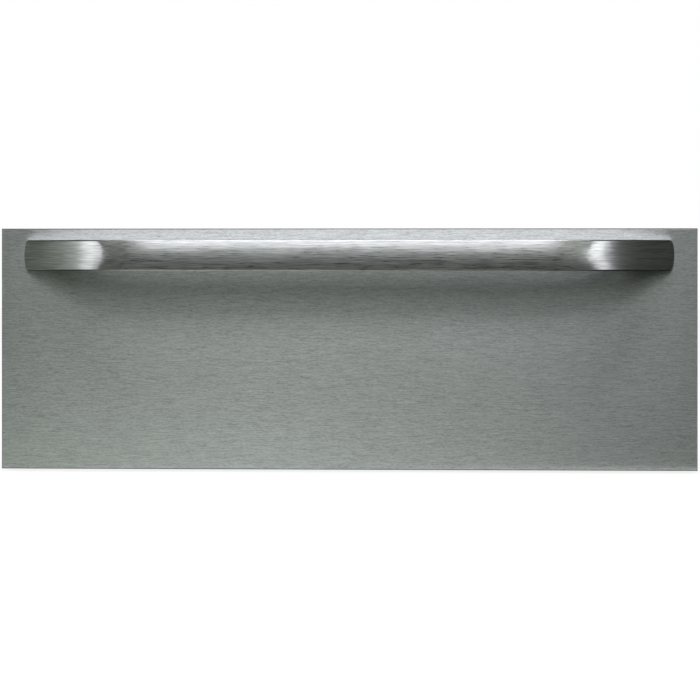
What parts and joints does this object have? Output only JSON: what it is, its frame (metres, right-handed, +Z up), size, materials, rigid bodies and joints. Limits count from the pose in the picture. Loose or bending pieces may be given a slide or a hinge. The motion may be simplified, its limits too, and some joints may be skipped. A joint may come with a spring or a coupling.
{
  "type": "warming drawer",
  "caption": "Electric warming drawer: insulated steel case, heated cavity, full-extension drawer with pan and rack, and a wide brushed-steel front with a bowed bar handle.",
  "frame": {"origin": "middle of the whole object, on the surface that its feet stand on, with the drawer shut", "axes": "+X to the right seen from the front, +Y to the back, +Z up; the drawer opens towards -Y"},
  "size_m": [0.756, 0.674, 0.265],
  "materials": {
    "amber_lens": "clear, amber",
    "ball_cage_steel": "bright",
    "black_fascia": "satin black",
    "black_plastic": "satin",
    "bright_aluminium": "bright rolled",
    "brushed_stainless_front": "fine horizontal brushing",
    "brushed_stainless_handle": "coarse horizontal brushing",
    "ceramic": "unglazed",
    "chrome_wire": "bright plated",
    "copper_capillary": "drawn copper",
    "dark_plastic": "matt",
    "element_sheath": "heat darkened",
    "galvanised_steel": "satin galvanised sheet",
    "mineral_wool": "fibrous",
    "rocker_plastic": "gloss",
    "rubber": "matt",
    "silicone": "matt",
    "slide_steel": "bright zinc",
    "spring_steel": "plain",
    "stainless_frame": "brushed",
    "stainless_liner": "mill finish",
    "stainless_pan": "drawn, satin",
    "white_plastic": "matt",
    "wire_sleeve": "glass-fibre sleeve",
    "zinc_plate": "zinc plated",
    "zinc_screws": "zinc plated"
  },
  "bodies": {
    "case": {"base_pan": "galvanised_steel", "cable_gland": "black_plastic", "case_screws": "zinc_screws", "cavity_clips": "spring_steel", "cavity_liner": "stainless_liner", "control_fascia": "black_fascia", "drawer_seal": "silicone", "element_bushes": "ceramic", "floor_insulation": "mineral_wool", "front_frame": "stainless_frame", "front_left_foot": "rubber", "front_right_foot": "rubber", "heat_reflector": "bright_aluminium", "heating_element": "element_sheath", "insulation_wrap": "mineral_wool", "left_side_panel": "galvanised_steel", "left_slide_outer_member": "slide_steel", "pilot_lamp_body": "dark_plastic", "pilot_lens": "amber_lens", "power_switch_body": "black_plastic", "rear_cover": "galvanised_steel", "rear_insulation": "mineral_wool", "rear_left_foot": "rubber", "rear_right_foot": "rubber", "right_side_panel": "galvanised_steel", "right_slide_outer_member": "slide_steel", "slide_wall_screws": "zinc_screws", "small_screws": "zinc_screws", "temperature_sensor": "copper_capillary", "terminal_block": "white_plastic", "thermal_limiter": "dark_plastic", "thermostat_body": "zinc_plate", "top_cover": "galvanised_steel", "wiring_loom": "wire_sleeve"},
    "drawer": {"front_skin": "brushed_stainless_front", "handle": "brushed_stainless_handle", "handle_backing_plates": "zinc_plate", "handle_screws": "zinc_screws", "front_inner_panel": "stainless_liner", "front_insulation": "mineral_wool", "vent_rails": "stainless_liner", "right_drawer_bracket": "zinc_plate", "left_drawer_bracket": "zinc_plate", "rear_cross_rail": "zinc_plate", "pan_front_rest": "stainless_liner", "drawer_screws": "zinc_screws", "warming_pan": "stainless_pan", "wire_rack": "chrome_wire", "left_slide_inner_member": "slide_steel", "right_slide_inner_member": "slide_steel"},
    "left_middle_slide": {"left_slide_middle_member": "slide_steel"},
    "right_middle_slide": {"right_slide_middle_member": "slide_steel"},
    "left_outer_balls": {"left_slide_outer_ball_cage": "ball_cage_steel"},
    "right_outer_balls": {"right_slide_outer_ball_cage": "ball_cage_steel"},
    "left_inner_balls": {"left_slide_inner_ball_cage": "ball_cage_steel"},
    "right_inner_balls": {"right_slide_inner_ball_cage": "ball_cage_steel"},
    "thermostat_control": {"thermostat_knob": "black_plastic", "thermostat_spindle": "zinc_plate"},
    "rocker": {"power_rocker": "rocker_plastic"},
    "vent_control": {"vent_shutter": "stainless_liner"}
  },
  "joints": [
    {"name": "drawer_slide", "type": "slide", "parent": "case", "child": "drawer", "axis": [0, -1, 0], "range_m": [0, 0.48]},
    {"name": "left_middle_slide_travel", "type": "slide", "parent": "case", "child": "left_middle_slide", "axis": [0, -1, 0], "range_m": [0, 0.24]},
    {"name": "left_outer_balls_travel", "type": "slide", "parent": "case", "child": "left_outer_balls", "axis": [0, -1, 0], "range_m": [0, 0.12]},
    {"name": "left_inner_balls_travel", "type": "slide", "parent": "case", "child": "left_inner_balls", "axis": [0, -1, 0], "range_m": [0, 0.36]},
    {"name": "right_middle_slide_travel", "type": "slide", "parent": "case", "child": "right_middle_slide", "axis": [0, -1, 0], "range_m": [0, 0.24]},
    {"name": "right_outer_balls_travel", "type": "slide", "parent": "case", "child": "right_outer_balls", "axis": [0, -1, 0], "range_m": [0, 0.12]},
    {"name": "right_inner_balls_travel", "type": "slide", "parent": "case", "child": "right_inner_balls", "axis": [0, -1, 0], "range_m": [0, 0.36]},
    {"name": "thermostat_turn", "type": "hinge", "parent": "case", "child": "thermostat_control", "pos_m": [0.2952, -0.259, 0.223], "axis": [0, 1, 0], "range_deg": [0, 270]},
    {"name": "power_rocker_tilt", "type": "hinge", "parent": "case", "child": "rocker", "pos_m": [0.1952, -0.256, 0.223], "axis": [0, 0, 1], "range_deg": [0, 18]},
    {"name": "vent_shutter_slide", "type": "slide", "parent": "drawer", "child": "vent_control", "axis": [1, 0, 0], "range_m": [0, 0.009]}
  ],
  "couplings": [
    {"joint": "left_middle_slide_travel", "follows": "drawer_slide", "ratio": 0.5},
    {"joint": "left_outer_balls_travel", "follows": "drawer_slide", "ratio": 0.25},
    {"joint": "left_inner_balls_travel", "follows": "drawer_slide", "ratio": 0.75},
    {"joint": "right_middle_slide_travel", "follows": "drawer_slide", "ratio": 0.5},
    {"joint": "right_outer_balls_travel", "follows": "drawer_slide", "ratio": 0.25},
    {"joint": "right_inner_balls_travel", "follows": "drawer_slide", "ratio": 0.75}
  ]
}
